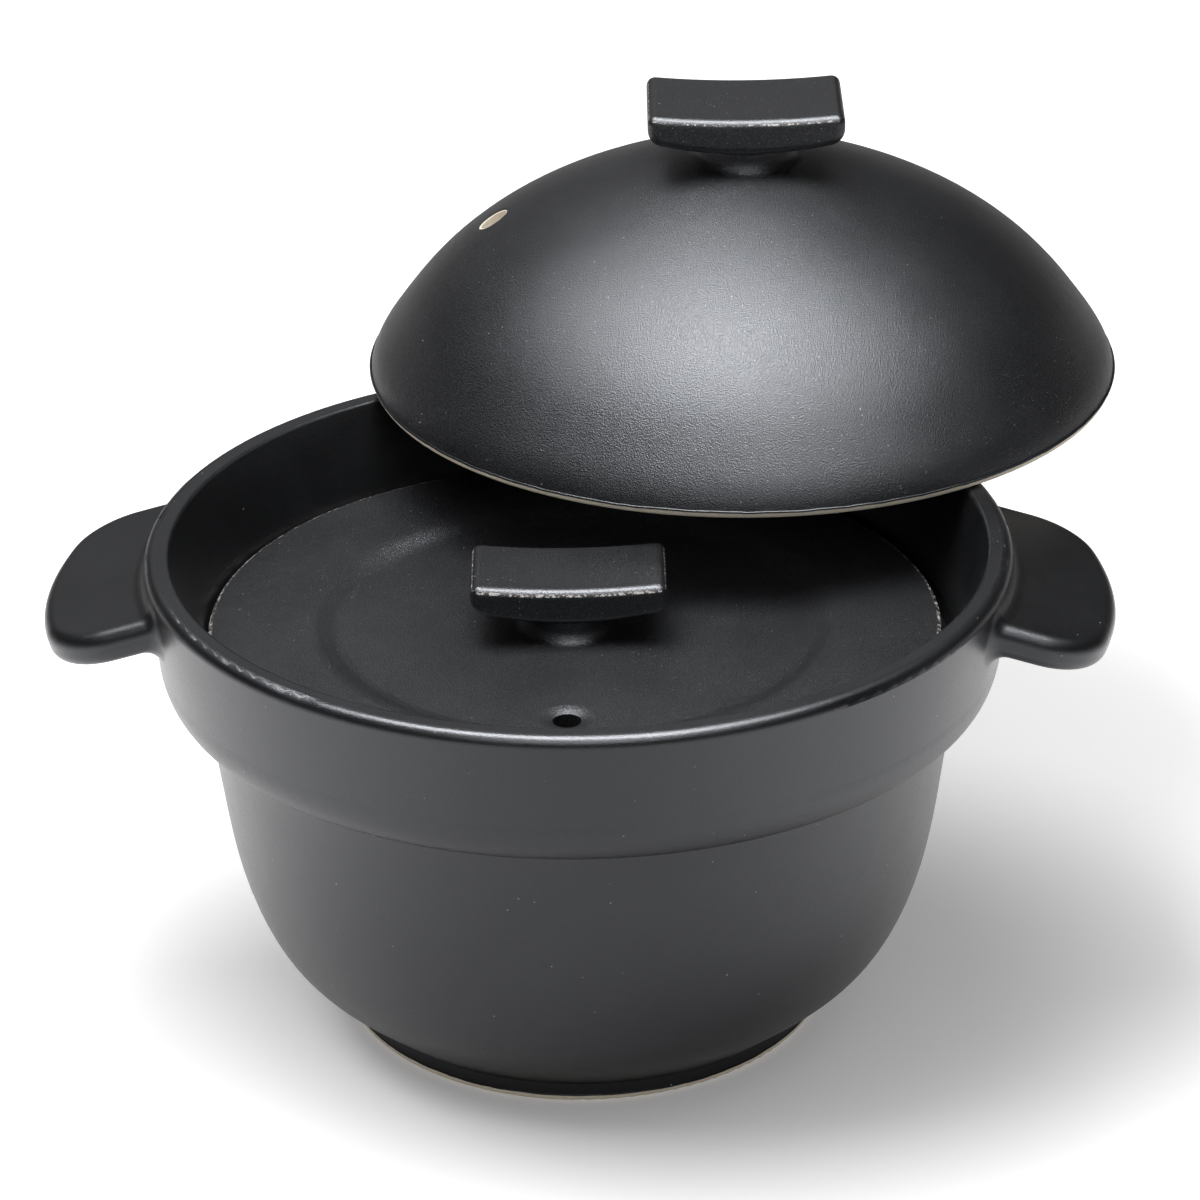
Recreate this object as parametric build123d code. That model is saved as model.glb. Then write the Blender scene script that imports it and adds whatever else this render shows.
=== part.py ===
from build123d import *
import math
import os

# Double-lidded clay rice pot. Millimetres, +Z up, origin at the middle of the foot on the table.
# The two lugs lie along X. The photographed side faces -Y.
# The outer lid lies ajar across the rim, behind and to the right of the pot's middle.

# Pot
rim_radius = 105.0
pot_height = 122.5
lip_width = 6.1
lip_outer_round = 2.6
lip_inner_round = 1.0
collar_height = 34.7
collar_taper = 2.5
collar_overhang = 9.4
shoulder_width = 6.6
shoulder_height = 10.7
crease_round = 1.6
foot_radius = 60.0
foot_height = 4.8
foot_width = 8.5
foot_recess = 3.6
foot_round = 0.8
bowl_wall = 8.0
floor_thickness = 7.5
floor_inset = 14.0
mouth_round = 2.0

# Points of the bowl's outside: share of the way out from the foot to the step, and of the height between them
bowl_shares = [(0.232, 0.080), (0.474, 0.175), (0.662, 0.313), (0.792, 0.492), (0.873, 0.704)]
inside_span_share = (0.10, 0.86)
inside_steps = 6

# Inner lid and its pocket
inner_lid_thickness = 7.9
inner_lid_edge_round = 1.2
ledge_depth = 29.7
ledge_width = 7.8
seat_flare = 8.1
pocket_depth = 5.6
seat_gap = 0.3
inner_lid_clearance = 1.6
inner_lid_drift_share = 0.75
inner_lid_turn = 2.4
dish_margin = 24.4
dish_depth = 1.8
dish_slope = 8.0
plug_clearance = 1.8
plug_depth = 3.5
plug_wall = 7.0
plug_round = 1.5
inner_hole_radius = 3.4
inner_hole_inset = 6.9
inner_hole_bearing = 267.7
dimple_radius = 5.4
dimple_depth = 1.3
dimple_round = 6.0

# Outer lid
outer_lid_clearance = 1.5
outer_lid_height = 58.5
outer_lid_wall = 5.6
outer_lid_edge_round = 1.3
ajar_right = 38.8
ajar_back = 106.6
outer_lid_turn = 1.9
outer_hole_radius = 3.9
outer_hole_reach = 65.0
outer_hole_bearing = 172.8
outer_dimple_depth = 0.7

# Points of the dome: share of the lid's radius, share of the dome's height
dome_shares = [(0.985, 0.087), (0.940, 0.207), (0.860, 0.377), (0.740, 0.563), (0.600, 0.714), (0.420, 0.852),
               (0.220, 0.959)]
dome_inside_shares = (0.06, 0.18, 0.34, 0.52, 0.70, 0.86)

# Knobs: a curved bar on a round neck
outer_neck_radius = 12.5
inner_neck_radius = 10.6
neck_flare = 3.0
neck_blend = 1.4
boss_rise = 3.2
outer_knob_length = 50.0
outer_knob_width = 33.0
outer_knob_thickness = 9.4
outer_knob_rise = 14.4
outer_knob_drift = 0.7
inner_knob_length = 47.4
inner_knob_width = 26.5
inner_knob_thickness = 9.0
inner_knob_rise = 13.0
inner_knob_drift = -1.3
knob_top_sag = 1.3
knob_bottom_sag = 3.0
knob_top_corner = 2.2
knob_bottom_corner = 4.4
knob_edge_round = 2.3

# Lugs
lug_reach = 26.7
lug_width = 71.5
lug_thickness = 8.4
lug_drop = 7.4
lug_droop = 16.3
lug_tip_bulge = 8.0
lug_corner = 17.5
lug_edge_round = 3.3
lug_root_round = 4.5
lug_root_pad = 1.4

cut_overrun = 5.0
match_share = 0.002
upright_share = 0.9

# Sizes that follow from the ones above
collar_foot_radius = rim_radius - collar_taper
step_radius = collar_foot_radius - collar_overhang
step_height = pot_height - collar_height
ledge_height = pot_height - ledge_depth
floor_flat_radius = foot_radius - floor_inset
lip_radius = rim_radius - lip_width
pocket_radius = lip_radius - seat_flare
mouth_radius = pocket_radius - ledge_width
inner_lid_radius = pocket_radius - inner_lid_clearance
dish_radius = inner_lid_radius - dish_margin
inner_hole_reach = dish_radius - dish_slope - inner_hole_inset
outer_lid_radius = lip_radius - outer_lid_clearance


# A closed outline, drawn as radius and height, turned about the upright axis
def turned(*lines):
    outline = make_face(Curve() + list(lines))
    return revolve(Plane.XZ * outline, Axis.Z)


# The round edges at one radius and height
def rings(solid, radius, height):
    reach = match_share * rim_radius
    found = []
    for edge in solid.edges().filter_by(GeomType.CIRCLE):
        at_height = abs(edge.arc_center.Z - height) < reach
        if at_height and abs(edge.radius - radius) < reach:
            found.append(edge)
    return found


# A point beside a curve, moved square to it, to the left of its direction
def beside(curve, share, distance):
    along = curve % share
    return curve @ share + Vector(-along.Y, along.X) * distance


# The bowl's outside, from the top of the foot up to the crease under the collar
def bowlOutside():
    rise = step_height - foot_height
    spread = step_radius - foot_radius
    points = [(foot_radius, foot_height)]
    for radius_share, height_share in bowl_shares:
        points.append((foot_radius + spread * radius_share, foot_height + rise * height_share))
    points.append((step_radius, step_height))
    return Spline(*points)


# The solid shape of the pot's outside, grown outwards by an amount
def potOutside(growth=0):
    shoulder_start = collar_foot_radius - shoulder_width
    shoulder_end = step_height + shoulder_height
    bowl = bowlOutside()
    underside = Line(bowl @ 1, (shoulder_start, step_height))
    shoulder = EllipticalCenterArc(
        (shoulder_start, shoulder_end), shoulder_width, shoulder_height, start_angle=270, arc_size=90
    )
    collar = Line(shoulder @ 1, (rim_radius, pot_height))
    top = Line((rim_radius, pot_height), (0, pot_height))
    axis = Line((0, pot_height), (0, 0))
    base = Line((0, 0), (foot_radius, 0))
    foot = Line((foot_radius, 0), bowl @ 0)
    body = turned(bowl, underside, shoulder, collar, top, axis, base, foot)
    if growth:
        return offset(body, growth)
    return body


# The pot's hollow: floor, bowl, ledge and pocket for the inner lid, then the flared seat of the outer lid
def potHollow():
    floor_height = foot_recess + floor_thickness
    pocket_top = ledge_height + pocket_depth
    above = pot_height + cut_overrun
    outside = bowlOutside()
    first, last = inside_span_share
    points = []
    for step in range(inside_steps):
        share = first + (last - first) * step / (inside_steps - 1)
        points.append(beside(outside, share, bowl_wall))
    floor = Line((0, floor_height), (floor_flat_radius, floor_height))
    wall = Spline(floor @ 1, *points)
    throat = Line(wall @ 1, (mouth_radius, ledge_height))
    ledge = Line((mouth_radius, ledge_height), (pocket_radius, ledge_height))
    pocket = Line((pocket_radius, ledge_height), (pocket_radius, pocket_top))
    seat = Line((pocket_radius, pocket_top), (lip_radius, pot_height))
    chimney = Line((lip_radius, pot_height), (lip_radius, above))
    top = Line((lip_radius, above), (0, above))
    axis = Line((0, above), (0, floor_height))
    return turned(floor, wall, throat, ledge, pocket, seat, chimney, top, axis)


def footRecess():
    return Pos(0, 0, -cut_overrun) * extrude(Circle(foot_radius - foot_width), foot_recess + cut_overrun)


# One lug, drawn flat, leaned down from the collar and rounded all over
def lugBlank():
    half_width = lug_width / 2
    tip = rim_radius + lug_reach
    root = lip_radius - cut_overrun
    shoulder = tip - lug_tip_bulge
    outline = make_face(
        Curve()
        + [
            Line((root, -half_width), (shoulder, -half_width)),
            ThreePointArc((shoulder, -half_width), (tip, 0), (shoulder, half_width)),
            Line((shoulder, half_width), (root, half_width)),
            Line((root, half_width), (root, -half_width)),
        ]
    )
    corners = outline.vertices().group_by(Axis.X)[-1]
    outline = fillet(corners, lug_corner)
    slab = extrude(outline, -lug_thickness)
    rims = [edge for edge in slab.edges() if edge.center().X > root + cut_overrun / 2 and not isUpright(edge)]
    slab = fillet(rims, lug_edge_round)
    leaned = Pos(-rim_radius, 0, 0) * slab
    leaned = Rot(0, lug_droop, 0) * leaned
    return Pos(rim_radius, 0, pot_height - lug_drop) * leaned


def isUpright(edge):
    along = edge % 0.5
    return abs(along.Z) > upright_share


# The pot in four pieces: bowl, collar and the two lugs. The bowl and the collar meet at the crease.
# A thin pad of each lug's flare stays with the collar.
def potPieces():
    outside = potOutside()
    right_blank = lugBlank()
    left_blank = Rot(0, 0, 180) * right_blank
    joined = outside + right_blank + left_blank
    hidden = [edge for edge in joined.edges() if isRoot(edge)]
    joined = fillet(hidden, lug_root_round)
    grown = potOutside(lug_root_pad)
    body = joined & grown
    lugs = joined - grown
    right_lug = lugs.solids().sort_by(Axis.X)[-1]
    left_lug = lugs.solids().sort_by(Axis.X)[0]
    body = body - potHollow() - footRecess()
    body = fillet(rings(body, rim_radius, pot_height), lip_outer_round)
    body = fillet(rings(body, lip_radius, pot_height), lip_inner_round)
    body = fillet(rings(body, mouth_radius, ledge_height), mouth_round)
    body = fillet(rings(body, step_radius, step_height), crease_round)
    body = fillet(rings(body, foot_radius, 0) + rings(body, foot_radius - foot_width, 0), foot_round)
    slab = Pos(0, 0, step_height + pot_height) * Cylinder(2 * rim_radius, 2 * pot_height)
    return body - slab, body & slab, right_lug, left_lug


# An edge where a lug meets the collar: off to the side, on the collar's face and not a full ring
def isRoot(edge):
    middle = edge @ 0.5
    reach = math.hypot(middle.X, middle.Y)
    on_collar = collar_foot_radius - shoulder_width < reach < rim_radius
    return on_collar and abs(middle.X) > abs(middle.Y) and edge.length < 2 * lug_width


# The share along a falling or rising curve at which it reaches a radius
def shareAtRadius(curve, radius):
    low, high = 0.0, 1.0
    rising = (curve @ 1).X > (curve @ 0).X
    for halving in range(30):
        middle = (low + high) / 2
        if ((curve @ middle).X < radius) == rising:
            low = middle
        else:
            high = middle
    return low


# A steam hole with a shallow thumbed dimple, made along the direction of a plane set on the surface
def steamHole(surface, hole_radius, rim_depth, wall):
    rim = dimple_radius
    ball_radius = (rim * rim + rim_depth * rim_depth) / (2 * rim_depth)
    ball = Pos(0, 0, ball_radius - rim_depth) * Sphere(ball_radius)
    bore = Cylinder(hole_radius, 2 * wall + cut_overrun)
    return surface * (ball + bore)


# The dome's outside, from its bottom edge up to its middle
def domeOutside():
    points = [(outer_lid_radius, 0)]
    for radius_share, height_share in dome_shares:
        points.append((outer_lid_radius * radius_share, outer_lid_height * height_share))
    points.append((0, outer_lid_height))
    return Spline(*points)


# The boss that a knob's neck stands on, flared into the lid below it.
# A drift is how far off the middle it was set.
def withBoss(lid, drift, radius, top):
    lid = lid + Pos(drift, 0, top / 2) * Cylinder(radius, top)
    foot = [edge for edge in lid.edges() if isBossFoot(edge, drift, radius, top)]
    return fillet(foot, neck_flare)


def isBossFoot(edge, drift, radius, top):
    spot = edge @ 0.3
    near = abs(math.hypot(spot.X - drift, spot.Y) - radius) < match_share * rim_radius
    return near and top - 2 * boss_rise < spot.Z < top - boss_rise / 2


def outerLid():
    dome = domeOutside()
    points = [(outer_lid_radius - outer_lid_wall, 0)]
    for share in dome_inside_shares:
        points.append(beside(dome, share, outer_lid_wall))
    apex = (0, outer_lid_height - outer_lid_wall)
    inside = Spline(*points, apex)
    edge = Line(inside @ 0, dome @ 0)
    axis = Line(dome @ 1, apex)
    solid_dome = turned(dome, Line(dome @ 1, (0, 0)), Line((0, 0), dome @ 0))
    hollow = turned(inside, Line(apex, (0, 0)), Line((0, 0), inside @ 0))
    lid = withBoss(solid_dome, outer_knob_drift, outer_neck_radius, outer_lid_height + boss_rise) - hollow
    lid = fillet(rings(lid, outer_lid_radius, 0), outer_lid_edge_round)
    lid = fillet(rings(lid, outer_lid_radius - outer_lid_wall, 0), outer_lid_edge_round)
    share = shareAtRadius(dome, outer_hole_reach)
    spot = dome @ share
    along = dome % share
    surface = Plane((spot.X, 0, spot.Y), x_dir=(along.X, 0, along.Y), z_dir=(along.Y, 0, -along.X))
    hole = steamHole(surface, outer_hole_radius, outer_dimple_depth, outer_lid_wall)
    return lid - Rot(0, 0, outer_hole_bearing) * hole


def innerLid():
    top = inner_lid_thickness
    dish = dish_radius - dish_slope
    plug_radius = mouth_radius - plug_clearance
    bend = (dish_radius + dish) / 2
    slope = Bezier((dish_radius, top), (bend, top), (bend, top - dish_depth), (dish, top - dish_depth))
    lid = turned(
        Line((0, 0), (inner_lid_radius, 0)),
        Line((inner_lid_radius, 0), (inner_lid_radius, top)),
        Line((inner_lid_radius, top), slope @ 0),
        slope,
        Line(slope @ 1, (0, top - dish_depth)),
        Line((0, top - dish_depth), (0, 0)),
    )
    plug = Pos(0, 0, -plug_depth / 2) * Cylinder(plug_radius, plug_depth)
    bay = Pos(0, 0, -plug_depth / 2) * Cylinder(plug_radius - plug_wall, plug_depth)
    lid = withBoss(lid, inner_knob_drift, inner_neck_radius, top - dish_depth + boss_rise) + (plug - bay)
    lid = fillet(rings(lid, inner_lid_radius, top) + rings(lid, inner_lid_radius, 0), inner_lid_edge_round)
    lid = fillet(rings(lid, plug_radius, -plug_depth), plug_round)
    spot = Plane((inner_hole_reach, 0, top - dish_depth), z_dir=(0, 0, 1))
    hole = steamHole(spot, inner_hole_radius, dimple_depth, inner_lid_thickness)
    lid = lid - Rot(0, 0, inner_hole_bearing) * hole
    return fillet(rings(lid, dimple_radius, top - dish_depth), dimple_round)


# A knob: a bar dished along its top, bellied below, on a short round neck
def knob(length, width, thickness, top, neck_radius, neck_foot):
    half = length / 2
    low = top - thickness
    upper = ThreePointArc((-half, top + knob_top_sag), (0, top), (half, top + knob_top_sag))
    lower = ThreePointArc((half, low + knob_bottom_sag), (0, low), (-half, low + knob_bottom_sag))
    outline = make_face(Curve() + [upper, Line(upper @ 1, lower @ 0), lower, Line(lower @ 1, upper @ 0)])
    by_height = outline.vertices().sort_by(Axis.Y)
    outline = fillet(by_height[2:], knob_top_corner)
    outline = fillet(outline.vertices().sort_by(Axis.Y)[:2], knob_bottom_corner)
    bar = extrude(Plane.XZ * outline, width / 2, both=True)
    sides = [edge for edge in bar.edges() if abs(abs(edge.center().Y) - width / 2) < match_share * rim_radius]
    bar = fillet(sides, knob_edge_round)
    neck_height = top - thickness / 2 - neck_foot
    neck = Pos(0, 0, neck_foot + neck_height / 2) * Cylinder(neck_radius, neck_height)
    whole = bar + neck
    joint = [edge for edge in whole.edges() if isNeckTop(edge, neck_radius, neck_foot)]
    return fillet(joint, neck_blend)


def isNeckTop(edge, neck_radius, neck_foot):
    middle = edge @ 0.5
    reach = math.hypot(middle.X, middle.Y)
    return abs(reach - neck_radius) < match_share * rim_radius and middle.Z > neck_foot + neck_blend / 2


parts = {}
parts["pot_bowl"], parts["pot_collar"], parts["right_lug"], parts["left_lug"] = potPieces()

inner_lid_drift = inner_lid_clearance * inner_lid_drift_share
inner_place = Pos(-inner_lid_drift, 0, ledge_height + seat_gap) * Rot(0, 0, inner_lid_turn)
inner_boss_top = inner_lid_thickness - dish_depth + boss_rise
inner_bar_top = inner_lid_thickness + inner_knob_rise
parts["inner_lid"] = inner_place * innerLid()
parts["inner_lid_knob"] = inner_place * Pos(inner_knob_drift, 0, 0) * knob(
    inner_knob_length,
    inner_knob_width,
    inner_knob_thickness,
    inner_bar_top,
    inner_neck_radius,
    inner_boss_top,
)

outer_boss_top = outer_lid_height + boss_rise
outer_bar_top = outer_lid_height + outer_knob_rise
outer_place = Pos(ajar_right, ajar_back, pot_height + seat_gap) * Rot(0, 0, outer_lid_turn)
parts["outer_lid"] = outer_place * outerLid()
parts["outer_lid_knob"] = outer_place * Pos(outer_knob_drift, 0, 0) * knob(
    outer_knob_length,
    outer_knob_width,
    outer_knob_thickness,
    outer_bar_top,
    outer_neck_radius,
    outer_boss_top,
)

os.makedirs("parts", exist_ok=True)
for name, solid in parts.items():
    export_step(solid, "parts/" + name + ".step")
    print(name, round(solid.volume), "mm3")
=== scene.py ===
import math

import bpy
from mathutils import Matrix, Vector


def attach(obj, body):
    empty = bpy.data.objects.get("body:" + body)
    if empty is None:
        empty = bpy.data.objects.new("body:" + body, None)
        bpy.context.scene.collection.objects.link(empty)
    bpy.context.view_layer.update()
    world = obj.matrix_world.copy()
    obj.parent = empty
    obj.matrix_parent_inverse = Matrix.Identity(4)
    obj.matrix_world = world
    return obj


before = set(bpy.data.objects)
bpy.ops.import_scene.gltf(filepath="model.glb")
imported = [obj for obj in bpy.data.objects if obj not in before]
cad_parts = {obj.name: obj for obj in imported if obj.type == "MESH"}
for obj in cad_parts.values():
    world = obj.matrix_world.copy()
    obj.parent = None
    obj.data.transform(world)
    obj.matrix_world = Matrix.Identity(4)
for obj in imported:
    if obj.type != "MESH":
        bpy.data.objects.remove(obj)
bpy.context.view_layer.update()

# Clay rice pot in satin black glaze: bowl with two lugs, flat inner lid, domed outer lid laid ajar.
# Metres, +Z up, the lugs along X, the photographed side towards -Y.

scene = bpy.context.scene
mm = 0.001

# Where each loose piece stands, in millimetres, and how far it is turned, in degrees
places = {
    "pot": {"middle": (0.0, 0.0, 0.0), "turn": 0.0},
    "innerLid": {"middle": (-1.2, 0.0, 93.1), "turn": 2.4},
    "outerLid": {"middle": (38.8, 106.6, 122.8), "turn": 1.9},
}


# Wraps a node's output, so that shader maths reads as plain expressions
class Signal:
    def __init__(self, tree, socket):
        self.tree = tree
        self.socket = socket

    def combine(self, operation, first, second=0.0):
        return addNode(self.tree, "ShaderNodeMath", {"operation": operation}, {0: first, 1: second})

    def __add__(self, other):
        return self.combine("ADD", self, other)

    def __radd__(self, other):
        return self.combine("ADD", other, self)

    def __sub__(self, other):
        return self.combine("SUBTRACT", self, other)

    def __rsub__(self, other):
        return self.combine("SUBTRACT", other, self)

    def __mul__(self, other):
        return self.combine("MULTIPLY", self, other)

    def __rmul__(self, other):
        return self.combine("MULTIPLY", other, self)

    def __abs__(self):
        return self.combine("ABSOLUTE", self)

    def lower(self, other):
        return self.combine("MINIMUM", self, other)

    def higher(self, other):
        return self.combine("MAXIMUM", self, other)

    def root(self):
        return self.combine("SQRT", self)

    # 0 below the start and 1 above the end, or the other way round where start is the larger
    def ramp(self, start, end):
        settings = {"interpolation_type": "SMOOTHSTEP"}
        inputs = {"Value": self, "From Min": start, "From Max": end, "To Min": 0.0, "To Max": 1.0}
        return addNode(self.tree, "ShaderNodeMapRange", settings, inputs)


# Any node: its settings come first, then the values or links of its inputs.
# It gives back one output, or the node itself where the output is None.
def addNode(tree, kind, settings=None, inputs=None, output=0):
    node = tree.nodes.new(kind)
    for key, value in (settings or {}).items():
        setattr(node, key, value)
    for key, value in (inputs or {}).items():
        if isinstance(value, Signal):
            tree.links.new(value.socket, node.inputs[key])
        else:
            node.inputs[key].default_value = value
    if output is None:
        return node
    return Signal(tree, node.outputs[output])


# A Mix node's colours are its inputs 6 and 7, and the mixed colour is its output 2
def mixColours(tree, mask, first, second):
    return addNode(tree, "ShaderNodeMix", {"data_type": "RGBA"}, {0: mask, 6: first, 7: second}, 2)


# Object coordinates in millimetres, measured from a piece's own middle and turned with it
def localPoint(tree, place):
    turn = -math.radians(place["turn"])
    middle = Matrix.Rotation(turn, 3, "Z") @ Vector(place["middle"])
    coordinates = addNode(tree, "ShaderNodeTexCoord", output="Object")
    inputs = {
        "Vector": coordinates,
        "Location": tuple(-middle),
        "Rotation": (0.0, 0.0, turn),
        "Scale": (1 / mm,) * 3,
    }
    return addNode(tree, "ShaderNodeMapping", {"vector_type": "POINT"}, inputs)


def splitPoint(tree, point):
    parts = []
    for axis in range(3):
        parts.append(addNode(tree, "ShaderNodeSeparateXYZ", None, {0: point}, axis))
    return parts


# A noise or a cell pattern varies about this value
patternMiddle = 0.5


def noise(tree, point, perMillimetre, detail=2.0, roughness=0.5):
    inputs = {"Vector": point, "Scale": perMillimetre, "Detail": detail, "Roughness": roughness}
    return addNode(tree, "ShaderNodeTexNoise", None, inputs)


# Tiny round specks: one to a cell, and only in the share of the cells that is asked for
speckShape = {"core": 0.5, "fade": 0.8, "faintest": 0.35}


def specks(tree, point, spacing, radius, share):
    inputs = {"Vector": point, "Scale": 1 / spacing}
    cell = addNode(tree, "ShaderNodeTexVoronoi", None, inputs, None)
    away = Signal(tree, cell.outputs["Distance"]) * spacing
    chance = addNode(tree, "ShaderNodeSeparateColor", None, {0: Signal(tree, cell.outputs["Color"])})
    luck = addNode(tree, "ShaderNodeSeparateColor", None, {0: Signal(tree, cell.outputs["Color"])}, 1)
    near = away.ramp(radius, radius * speckShape["core"])
    chosen = chance.ramp(1 - share, 1 - share * speckShape["fade"])
    return near * chosen * (speckShape["faintest"] + (1 - speckShape["faintest"]) * luck)


# Distance in millimetres from a straight line through a spot
def fromLine(tree, point, spot, direction):
    away = addNode(tree, "ShaderNodeVectorMath", {"operation": "SUBTRACT"}, {0: point, 1: spot})
    turned = addNode(tree, "ShaderNodeVectorMath", {"operation": "CROSS_PRODUCT"}, {0: away, 1: direction})
    return addNode(tree, "ShaderNodeVectorMath", {"operation": "LENGTH"}, {0: turned}, "Value")


# Colours are linear. Lengths are in millimetres, noise scales per millimetre.
# A pair is where a noise starts to count and where it counts in full.
glazeLook = {
    "black": (0.0012, 0.0013, 0.0016, 1.0),
    "charcoal": (0.0042, 0.0044, 0.0052, 1.0),
    "sheen": (0.91, 0.94, 1.0, 1.0),  # tints the reflections
    "gloss": 1.54,  # index of refraction
    "roughness": 0.36,
    "roughnessSpread": 0.10,
    "grain": 2.9,
    "grainHeight": 0.028,
    "peel": 0.30,
    "peelHeight": 0.012,
    "grit": (0.075, 0.075, 0.080, 1.0),
    "gritScale": 2.7,
    "gritShare": 0.05,
    "gritSpan": (0.50, 0.66),
    "mottle": 0.045,
    "mottleSpan": (0.35, 0.72),
    "mottleRough": 0.08,
    "speck": (0.42, 0.41, 0.40, 1.0),
    "speckSpacing": 3.4,
    "speckRadius": 0.24,
    "speckShare": 0.36,
    "speckCalm": 0.4,
    "speckCover": 0.85,
    "speckHeight": 0.02,
    "speckRough": 0.3,
    "dustSpacing": 1.3,
    "dustRadius": 0.20,
    "dustShare": 0.30,
    # Tones of rubbed glaze; along the knobs' front top edge they also paint a highlight on the crest
    "wearAndHighlight": (0.34, 0.27, 0.22, 1.0),
    "wearAndHighlightPale": (0.74, 0.70, 0.66, 1.0),
    "wornStreak": 0.9,
    "wornStreakSpan": (0.42, 0.60),
    "wornBreak": 0.9,
    "wornBreakSpan": (0.45, 0.62),
    "wornCover": 0.9,
    "wornRough": 0.3,
    "wornDepth": 0.03,
}
lidLook = {**glazeLook, "gritShare": 0.30, "grainHeight": 0.085, "roughness": 0.39}
knobLook = {
    **lidLook,
    "grainHeight": 0.04,
    "roughness": 0.38,
    "dustSpacing": 1.0,
    "dustRadius": 0.16,
    "dustShare": 0.35,
}
clayLook = {
    "cream": (0.74, 0.64, 0.48, 1.0),
    "pale": (0.86, 0.79, 0.66, 1.0),
    "roughness": 0.88,
    "grain": 2.6,
    "grainSpan": (0.3, 0.7),
    "grainHeight": 0.035,
}


# The glaze. Each mask is a function of the local point: where the glaze is rubbed thin, where the clay is
# bare, and where dust has settled. On a knob's front top edge the first mask also paints a highlight on the
# crest.
def glazeMaterial(name, place, wearAndHighlightMask=None, bareMask=None, dustMask=None, look=glazeLook):
    material = bpy.data.materials.new(name)
    material.use_nodes = True
    tree = material.node_tree
    shader = tree.nodes["Principled BSDF"]
    point = localPoint(tree, place)
    x, y, z = splitPoint(tree, point)
    grain = addNode(tree, "ShaderNodeTexVoronoi", None, {"Vector": point, "Scale": look["grain"]}, "Distance")
    peel = noise(tree, point, look["peel"], detail=1.0)
    mottle = noise(tree, point, look["mottle"], detail=4.0, roughness=0.6)
    cloud = mottle.ramp(*look["mottleSpan"])
    colour = mixColours(tree, cloud, look["black"], look["charcoal"])
    grit = noise(tree, point, look["gritScale"], detail=1.0, roughness=0.6).ramp(*look["gritSpan"])
    colour = mixColours(tree, grit * look["gritShare"], colour, look["grit"])
    dots = specks(tree, point, look["speckSpacing"], look["speckRadius"], look["speckShare"])
    dots = dots * (look["speckCalm"] + cloud)
    if dustMask:
        fine = specks(tree, point, look["dustSpacing"], look["dustRadius"], look["dustShare"])
        dots = dots + fine * dustMask(tree, point, x, y, z)
    colour = mixColours(tree, dots.lower(look["speckCover"]), colour, look["speck"])
    height = grain * look["grainHeight"] + peel * look["peelHeight"] + dots * look["speckHeight"]
    rough = look["roughness"] + (grain - patternMiddle) * look["roughnessSpread"]
    rough = rough + (mottle - patternMiddle) * look["mottleRough"] + dots * look["speckRough"]
    # Wear, and along the knobs' front top edge a painted highlight as well
    if wearAndHighlightMask:
        wearAndHighlight = wearAndHighlightMask(tree, point, x, y, z)
        streak = noise(tree, point, look["wornStreak"], detail=3.0, roughness=0.7)
        tone = mixColours(tree, streak.ramp(*look["wornStreakSpan"]), look["wearAndHighlight"], look["wearAndHighlightPale"])
        broken = noise(tree, point, look["wornBreak"], detail=3.0, roughness=0.65)
        wearAndHighlight = (wearAndHighlight * broken.ramp(*look["wornBreakSpan"])).lower(look["wornCover"])
        colour = mixColours(tree, wearAndHighlight, colour, tone)
        rough = rough + wearAndHighlight * look["wornRough"]
        height = height - wearAndHighlight * look["wornDepth"]
    if bareMask:
        bare = bareMask(tree, point, x, y, z)
        clay = noise(tree, point, clayLook["grain"], detail=3.0, roughness=0.7)
        tone = mixColours(tree, clay.ramp(*clayLook["grainSpan"]), clayLook["cream"], clayLook["pale"])
        colour = mixColours(tree, bare, colour, tone)
        rough = rough * (1 - bare) + bare * clayLook["roughness"]
        height = height * (1 - bare) + bare * clay * clayLook["grainHeight"]
    bump = addNode(tree, "ShaderNodeBump", None, {"Strength": 1.0, "Distance": mm, "Height": height})
    tree.links.new(colour.socket, shader.inputs["Base Color"])
    tree.links.new(rough.socket, shader.inputs["Roughness"])
    tree.links.new(bump.socket, shader.inputs["Normal"])
    shader.inputs["IOR"].default_value = look["gloss"]
    shader.inputs["Specular Tint"].default_value = look["sheen"]
    return material


def setMaterial(nodeName, material):
    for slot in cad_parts[nodeName].material_slots:
        slot.material = material


def distance(first, second):
    return (first * first + second * second).root()


# The wavering line where the glaze stops above bare clay. The bead of glaze follows the same line.
glazeLine = {"waverScale": 0.16, "waverDetail": 3.0, "waverRoughness": 0.6, "blur": 0.12}


def waverAt(tree, point, waver):
    line = noise(tree, point, glazeLine["waverScale"], glazeLine["waverDetail"], glazeLine["waverRoughness"])
    return (line - patternMiddle) * 2 * waver


def belowHeight(level, waver):
    def mask(tree, point, x, y, z):
        lifted = z + waverAt(tree, point, waver)
        return lifted.ramp(level + glazeLine["blur"], level - glazeLine["blur"])

    return mask


# Along a knob's upper edges and its upright corners, where hands rub the glaze thin. Along the front top edge
# the pale line is partly wear and partly a painted highlight on the rounded crest. The shares are of the
# edge's own rounding, and the wear is in full over the core of its reach.
wearLine = {"inwards": 0.14, "down": 0.5, "core": 0.3, "frontFrom": 4.0, "frontTo": 2.0}


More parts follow.
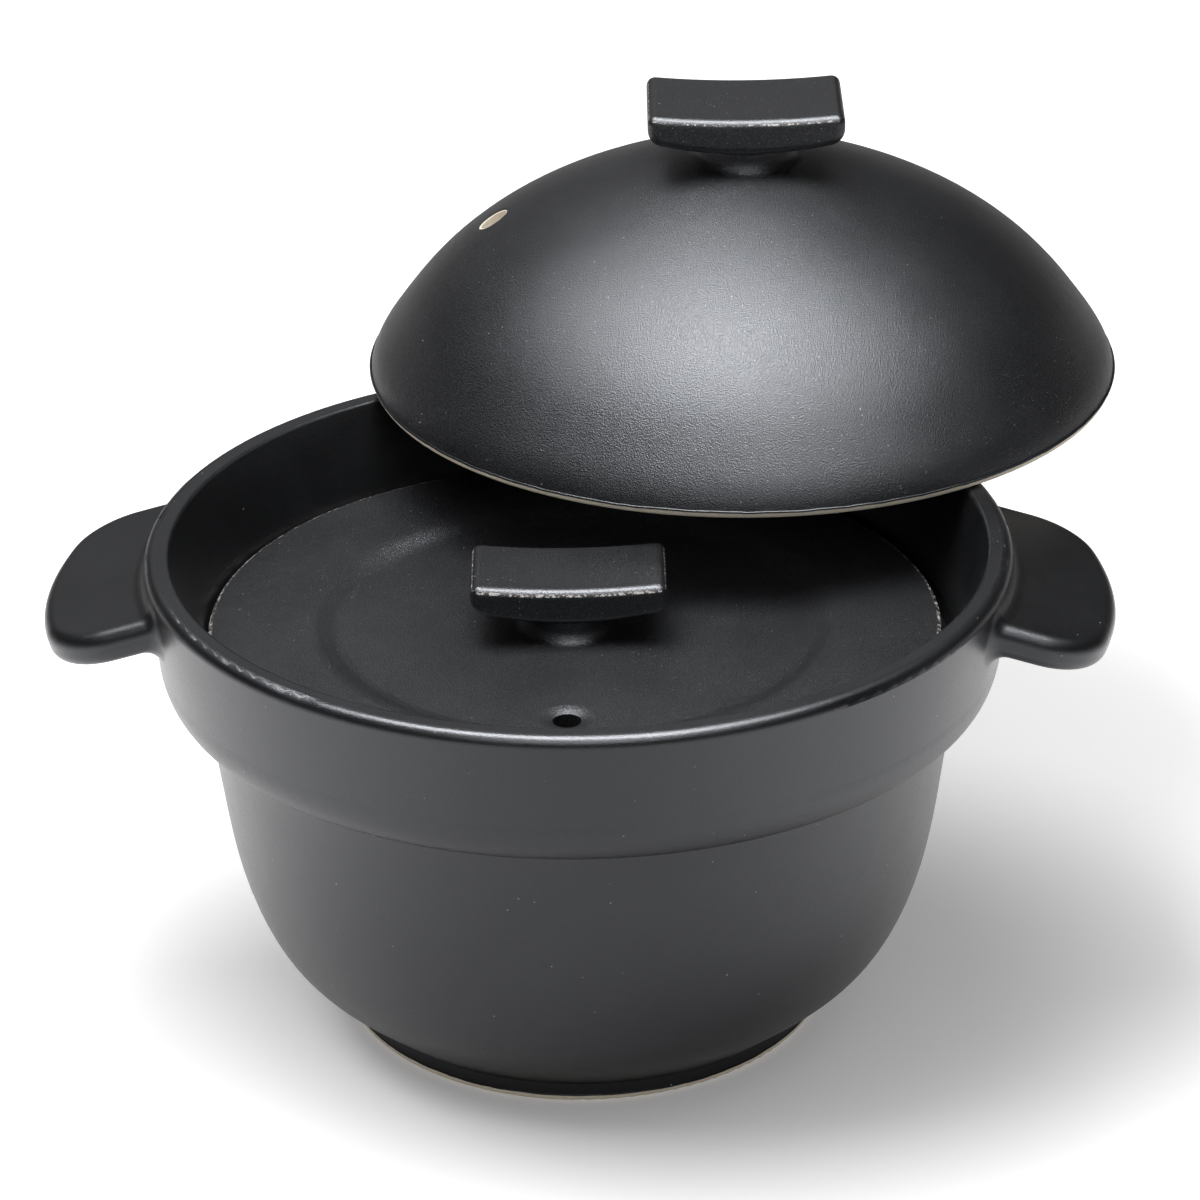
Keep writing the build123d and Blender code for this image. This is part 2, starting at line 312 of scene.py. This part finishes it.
def knobEdges(knob):
    half, side = knob["length"] / 2, knob["width"] / 2
    crest = wearLine["inwards"] * knob["edgeRound"]
    reach, core = knob["wear"], knob["wear"] * wearLine["core"]

    def mask(tree, point, x, y, z):
        x = x - knob["drift"]
        sag = knob["sag"] / (half * half) * (x * x)
        top = knob["top"] - wearLine["down"] * knob["edgeRound"] + sag
        ends, sides = abs(x) - (half - crest), abs(y) - (side - crest)
        # The front top edge only: wear and a painted highlight on the rounded crest
        atFront = y.ramp(wearLine["frontFrom"] - side, wearLine["frontTo"] - side)
        front = distance(sides, z - top).ramp(reach, core) * atFront
        around = distance(sides, z - top).lower(distance(ends, z - top)).lower(distance(ends, sides))
        return around.ramp(reach, core) * knob["wearAround"] + front * knob["frontWearAndHighlight"]

    return mask


# Along a round edge of some radius and height
def roundEdge(radius, height, reach):
    def mask(tree, point, x, y, z):
        return distance(distance(x, y) - radius, z - height).ramp(reach, reach * wearLine["core"])

    return mask


# Dust caught where a lug meets the collar
rootDustLook = {
    "inner": (96.0, 102.0),
    "outer": (119.0, 110.0),
    "height": (102.0, 108.0),
    "aside": (34.0, 20.0),
    "patchScale": 0.07,
    "patchSpan": (0.42, 0.62),
}


def lugRoots(dust):
    def mask(tree, point, x, y, z):
        band = abs(x).ramp(*dust["inner"]) * abs(x).ramp(*dust["outer"])
        patch = noise(tree, point, dust["patchScale"], roughness=0.6).ramp(*dust["patchSpan"])
        return band * z.ramp(*dust["height"]) * abs(y).ramp(*dust["aside"]) * patch

    return mask


# Dust lying over the lids in loose patches
def dustPatches(dust):
    def mask(tree, point, x, y, z):
        return noise(tree, point, dust["scale"], roughness=0.6).ramp(*dust["span"]) * dust["share"]

    return mask


# The bare clay inside a steam hole that leans outwards
def bareHole(hole):
    bearing, lean = math.radians(hole["bearing"]), math.radians(hole["lean"])
    outwards = Vector((math.cos(bearing), math.sin(bearing), 0.0))
    spot = outwards * hole["reach"] + Vector((0.0, 0.0, hole["height"]))
    direction = outwards * math.sin(lean) + Vector((0.0, 0.0, math.cos(lean)))

    def mask(tree, point, x, y, z):
        away = fromLine(tree, point, tuple(spot), tuple(direction))
        return away.ramp(hole["radius"] + hole["glazeEdge"][0], hole["radius"] + hole["glazeEdge"][1])

    return mask


def either(*masks):
    def mask(tree, point, x, y, z):
        total = masks[0](tree, point, x, y, z)
        for other in masks[1:]:
            total = total.higher(other(tree, point, x, y, z))
        return total

    return mask


dustLook = {"scale": 0.035, "span": (0.44, 0.62), "share": 0.8}
knobDustLook = {"scale": 0.06, "span": (0.30, 0.55), "share": 0.9}
potLook = {"bareFoot": 1.5, "footWaver": 0.4}
innerKnobLook = {
    "drift": -1.3,
    "length": 47.4,
    "width": 26.5,
    "top": 20.9,
    "sag": 1.3,
    "edgeRound": 2.3,
    "wear": 0.42,
    "wearAround": 0.8,
    # The front top edge line: wear and a painted highlight
    "frontWearAndHighlight": 2.6,
}
innerLidLook = {"edgeRadius": 88.9, "edgeHeight": 7.6, "edgeReach": 1.0}
outerKnobLook = {
    "drift": 0.7,
    "length": 50.0,
    "width": 33.0,
    "top": 72.9,
    "sag": 1.3,
    "edgeRound": 2.3,
    "wear": 0.36,
    "wearAround": 0.6,
    # The front top edge line: wear and a painted highlight
    "frontWearAndHighlight": 0.5,
}
outerLidLook = {"bareEdge": 1.65, "edgeWaver": 0.35}
steamHoleLook = {
    "bearing": 172.8,
    "lean": 33.0,
    "reach": 65.0,
    "height": 37.5,
    "radius": 3.9,
    "glazeEdge": (0.55, 0.2),
}

potGlaze = glazeMaterial(
    "potGlaze",
    places["pot"],
    None,
    belowHeight(potLook["bareFoot"], potLook["footWaver"]),
    lugRoots(rootDustLook),
)
innerLidGlaze = glazeMaterial(
    "innerLidGlaze",
    places["innerLid"],
    roundEdge(innerLidLook["edgeRadius"], innerLidLook["edgeHeight"], innerLidLook["edgeReach"]),
    None,
    dustPatches(dustLook),
    look=lidLook,
)
innerKnobGlaze = glazeMaterial(
    "innerKnobGlaze",
    places["innerLid"],
    knobEdges(innerKnobLook),
    None,
    dustPatches(knobDustLook),
    look=knobLook,
)
outerLidGlaze = glazeMaterial(
    "outerLidGlaze",
    places["outerLid"],
    None,
    either(belowHeight(outerLidLook["bareEdge"], outerLidLook["edgeWaver"]), bareHole(steamHoleLook)),
    dustPatches(dustLook),
    look=lidLook,
)
outerKnobGlaze = glazeMaterial(
    "outerKnobGlaze",
    places["outerLid"],
    knobEdges(outerKnobLook),
    None,
    dustPatches(knobDustLook),
    look=knobLook,
)
for nodeName in ("pot_bowl", "pot_collar", "left_lug", "right_lug"):
    setMaterial(nodeName, potGlaze)
setMaterial("inner_lid", innerLidGlaze)
setMaterial("inner_lid_knob", innerKnobGlaze)
setMaterial("outer_lid", outerLidGlaze)
setMaterial("outer_lid_knob", outerKnobGlaze)
print("materials done")

# The bead where the glaze stops above bare clay. It follows the same wavering line as the material's mask.
beadLook = {"points": 384, "sides": 8}
footBead = {"radius": 59.85, "level": 1.62, "waver": 0.4, "thick": 0.28}
lidBead = {"radius": 97.15, "level": 1.85, "waver": 0.35, "thick": 0.32}


def beadTree():
    tree = bpy.data.node_groups.new("glazeBead", "GeometryNodeTree")
    tree.interface.new_socket("Geometry", in_out="OUTPUT", socket_type="NodeSocketGeometry")
    for name in ("Radius", "Level", "Waver", "Thick", "Turn"):
        tree.interface.new_socket(name, in_out="INPUT", socket_type="NodeSocketFloat")
    tree.interface.new_socket("Middle", in_out="INPUT", socket_type="NodeSocketVector")
    tree.interface.new_socket("Glaze", in_out="INPUT", socket_type="NodeSocketMaterial")
    given = addNode(tree, "NodeGroupInput", output=None)
    value = {socket.name: Signal(tree, socket) for socket in given.outputs if socket.name}
    path = addNode(
        tree,
        "GeometryNodeCurvePrimitiveCircle",
        {"mode": "RADIUS"},
        {"Resolution": beadLook["points"], "Radius": value["Radius"]},
    )
    here = addNode(tree, "GeometryNodeInputPosition")
    lifted = addNode(tree, "ShaderNodeCombineXYZ", None, {"Z": value["Level"]})
    onEdge = addNode(tree, "ShaderNodeVectorMath", {"operation": "ADD"}, {0: here, 1: lifted})
    rise = value["Level"] - waverAt(tree, onEdge, value["Waver"])
    rise = addNode(tree, "ShaderNodeCombineXYZ", None, {"Z": rise})
    path = addNode(tree, "GeometryNodeSetPosition", None, {"Geometry": path, "Offset": rise})
    section = addNode(
        tree,
        "GeometryNodeCurvePrimitiveCircle",
        {"mode": "RADIUS"},
        {"Resolution": beadLook["sides"], "Radius": value["Thick"]},
    )
    bead = addNode(tree, "GeometryNodeCurveToMesh", None, {"Curve": path, "Profile Curve": section})
    bead = addNode(tree, "GeometryNodeSetShadeSmooth", None, {"Geometry": bead})
    turn = addNode(tree, "ShaderNodeCombineXYZ", None, {"Z": value["Turn"]})
    inputs = {"Geometry": bead, "Translation": value["Middle"], "Rotation": turn, "Scale": (mm,) * 3}
    bead = addNode(tree, "GeometryNodeTransform", None, inputs)
    bead = addNode(tree, "GeometryNodeRealizeInstances", None, {"Geometry": bead})
    bead = addNode(tree, "GeometryNodeSetMaterial", None, {"Geometry": bead, "Material": value["Glaze"]})
    addNode(tree, "NodeGroupOutput", None, {"Geometry": bead}, None)
    return tree


# Runs a geometry tree on an empty mesh and keeps what it makes as a plain mesh
def grow(name, tree, values):
    piece = bpy.data.objects.new(name, bpy.data.meshes.new(name))
    scene.collection.objects.link(piece)
    modifier = piece.modifiers.new("grow", "NODES")
    modifier.node_group = tree
    for socket in tree.interface.items_tree:
        if socket.name in values:
            modifier[socket.identifier] = values[socket.name]
    made = bpy.data.meshes.new_from_object(piece.evaluated_get(bpy.context.evaluated_depsgraph_get()))
    made.name = name
    piece.modifiers.remove(modifier)
    piece.data = made
    return piece


def makeBead(name, tree, look, place, glaze, body):
    values = {
        "Radius": look["radius"],
        "Level": look["level"],
        "Waver": look["waver"],
        "Thick": look["thick"],
        "Turn": math.radians(place["turn"]),
        "Middle": tuple(mm * value for value in place["middle"]),
        "Glaze": glaze,
    }
    bead = grow(name, tree, values)
    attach(bead, body)


potBeadGlaze = glazeMaterial("potBeadGlaze", places["pot"])
lidBeadGlaze = glazeMaterial("lidBeadGlaze", places["outerLid"])
tree = beadTree()
makeBead("foot_glaze_bead", tree, footBead, places["pot"], potBeadGlaze, "pot")
makeBead("lid_glaze_bead", tree, lidBead, places["outerLid"], lidBeadGlaze, "outer_lid")
print("beads done")

# Camera, from a fit to the pot's own circles
cameraLook = {
    "place": (0.0430, -0.9817, 0.5878),
    "down": 26.15,
    "aside": -2.215,
    "roll": -0.706,
    "lens": 135.0,
    "sensor": 36.0,
    "nearest": 0.05,
    "farthest": 50.0,
}


def makeCamera(look):
    down, aside, roll = (math.radians(look[key]) for key in ("down", "aside", "roll"))
    ahead = Vector((math.sin(aside), math.cos(aside), 0.0))
    level = Vector((math.cos(aside), -math.sin(aside), 0.0))
    forward = math.cos(down) * ahead - math.sin(down) * Vector((0.0, 0.0, 1.0))
    upright = level.cross(forward)
    right = math.cos(roll) * level + math.sin(roll) * upright
    up = -math.sin(roll) * level + math.cos(roll) * upright
    data = bpy.data.cameras.new("camera")
    data.sensor_width = look["sensor"]
    data.sensor_fit = "HORIZONTAL"
    data.lens = look["lens"]
    data.clip_start = look["nearest"]
    data.clip_end = look["farthest"]
    camera = bpy.data.objects.new("camera", data)
    turn = Matrix((right, up, -forward)).transposed().to_4x4()
    camera.matrix_world = Matrix.Translation(look["place"]) @ turn
    scene.collection.objects.link(camera)
    scene.camera = camera


makeCamera(cameraLook)

# Floor, world and lamps
studioLook = {
    "white": (1.0, 1.0, 1.0, 1.0),
    "floorSize": 12.0,
    "floorColour": (0.94, 0.925, 0.93, 1.0),
    "floorRoughness": 0.7,
    "floorSpecular": 0.2,
    # The floor's glow seen by the camera is weaker near the pot: a painted shadow around the foot, wider to
    # the sides than to the front and back
    "floorLiftNear": 0.15,
    "floorLiftFar": 0.56,
    "floorLiftFrom": 0.085,
    "floorLiftTo": 0.20,
    "floorLiftAcross": 0.90,
    "floorLiftAlong": 1.35,
    # The floor's glow for glossy rays is painted light that the glaze reflects: none close to the foot, a
    # painted shadow in the reflections, stronger to the sides, fading far off
    "floorInGloss": 0.55,
    "floorInGlossFrom": 0.06,
    "floorInGlossTo": 0.24,
    "floorInGlossFade": 0.30,
    "floorInGlossEnd": 0.60,
    "sideInGloss": 0.62,
    "sideInGlossFrom": 0.04,
    "sideInGlossTo": 0.20,
    "worldStrength": 0.42,
    "worldInGloss": 0.04,
    "overheadPlace": (-0.50, -0.05, 1.20),
    "overheadAim": (0.02, 0.04, 0.12),
    "overheadWidth": 0.80,
    "overheadDepth": 0.80,
    "overheadPower": 13.5,
}

# Bright cards that only the glaze's gloss sees: the broad light over the dome,
# a faint one low behind the pot's left side and a weak one above the camera
cardLooks = {
    "overhead_card": {
        "place": (-0.02, -0.05, 1.25),
        "aim": (0.03, 0.06, 0.16),
        "width": 1.20,
        "depth": 0.55,
        "strength": 28.5,
    },
    "back_card": {
        "place": (-0.30, 1.30, 0.78),
        "aim": (-0.03, 0.0, 0.12),
        "width": 1.35,
        "depth": 0.60,
        "strength": 0.42,
    },
    "front_card": {
        "place": (0.10, -1.20, 1.30),
        "aim": (0.03, 0.06, 0.16),
        "width": 1.30,
        "depth": 0.70,
        "strength": 5.0,
    },
}


def makeStudio(look):
    half = look["floorSize"] / 2
    mesh = bpy.data.meshes.new("floor")
    corners = [(-half, -half, 0), (half, -half, 0), (half, half, 0), (-half, half, 0)]
    mesh.from_pydata(corners, [], [(0, 1, 2, 3)])
    floor = bpy.data.objects.new("floor", mesh)
    scene.collection.objects.link(floor)
    material = bpy.data.materials.new("floorPaper")
    material.use_nodes = True
    tree = material.node_tree
    shader = tree.nodes["Principled BSDF"]
    shader.inputs["Base Color"].default_value = look["floorColour"]
    shader.inputs["Roughness"].default_value = look["floorRoughness"]
    shader.inputs["Specular IOR Level"].default_value = look["floorSpecular"]
    shader.inputs["Emission Color"].default_value = look["white"]
    seen = addNode(tree, "ShaderNodeLightPath", output="Is Camera Ray")
    gloss = addNode(tree, "ShaderNodeLightPath", output="Is Glossy Ray")
    x, y, z = splitPoint(tree, addNode(tree, "ShaderNodeTexCoord", output="Object"))
    reach = distance(x, y)
    # Glossy rays see a painted glow on the floor: dark near the foot, brighter to the sides
    around = reach.ramp(look["floorInGlossFrom"], look["floorInGlossTo"])
    fading = reach.ramp(look["floorInGlossEnd"], look["floorInGlossFade"])
    aside = abs(x).ramp(look["sideInGlossFrom"], look["sideInGlossTo"])
    # Weaker glow close to the pot paints a shadow around its foot
    stretched = distance(x * look["floorLiftAcross"], y * look["floorLiftAlong"])
    openFloor = stretched.ramp(look["floorLiftFrom"], look["floorLiftTo"])
    lift = seen * (look["floorLiftNear"] + openFloor * (look["floorLiftFar"] - look["floorLiftNear"]))
    lift = lift + gloss * fading * (around * look["floorInGloss"] + aside * look["sideInGloss"])
    tree.links.new(lift.socket, shader.inputs["Emission Strength"])
    mesh.materials.append(material)

    world = bpy.data.worlds.new("world")
    scene.world = world
    world.use_nodes = True
    tree = world.node_tree
    seen = addNode(tree, "ShaderNodeLightPath", output="Is Camera Ray")
    gloss = addNode(tree, "ShaderNodeLightPath", output="Is Glossy Ray")
    plain = look["worldStrength"] + gloss * (look["worldInGloss"] - look["worldStrength"])
    strength = plain + seen * (1 - plain)
    background = tree.nodes["Background"]
    background.inputs["Color"].default_value = look["white"]
    tree.links.new(strength.socket, background.inputs["Strength"])

    data = bpy.data.lights.new("overhead", "AREA")
    data.shape = "RECTANGLE"
    data.size = look["overheadWidth"]
    data.size_y = look["overheadDepth"]
    data.energy = look["overheadPower"]
    lamp = bpy.data.objects.new("overhead", data)
    lamp.location = look["overheadPlace"]
    lamp.rotation_euler = (Vector(look["overheadAim"]) - lamp.location).to_track_quat("-Z", "Y").to_euler()
    lamp.visible_glossy = False
    scene.collection.objects.link(lamp)


def makeCard(name, look):
    across, along = look["width"] / 2, look["depth"] / 2
    mesh = bpy.data.meshes.new(name)
    corners = [(-across, -along, 0), (across, -along, 0), (across, along, 0), (-across, along, 0)]
    place = Vector(look["place"])
    turn = (Vector(look["aim"]) - place).to_track_quat("-Z", "Y").to_matrix()
    mesh.from_pydata([tuple(place + turn @ Vector(corner)) for corner in corners], [], [(3, 2, 1, 0)])
    card = bpy.data.objects.new(name, mesh)
    scene.collection.objects.link(card)
    material = bpy.data.materials.new(name)
    material.use_nodes = True
    tree = material.node_tree
    tree.nodes.remove(tree.nodes["Principled BSDF"])
    glow = addNode(tree, "ShaderNodeEmission", None, {"Strength": look["strength"]})
    tree.links.new(glow.socket, tree.nodes["Material Output"].inputs["Surface"])
    mesh.materials.append(material)
    card.visible_camera = False
    card.visible_diffuse = False
    card.visible_shadow = False


makeStudio(studioLook)
for name, look in cardLooks.items():
    makeCard(name, look)
scene.view_settings.view_transform = "Standard"
print("studio done")
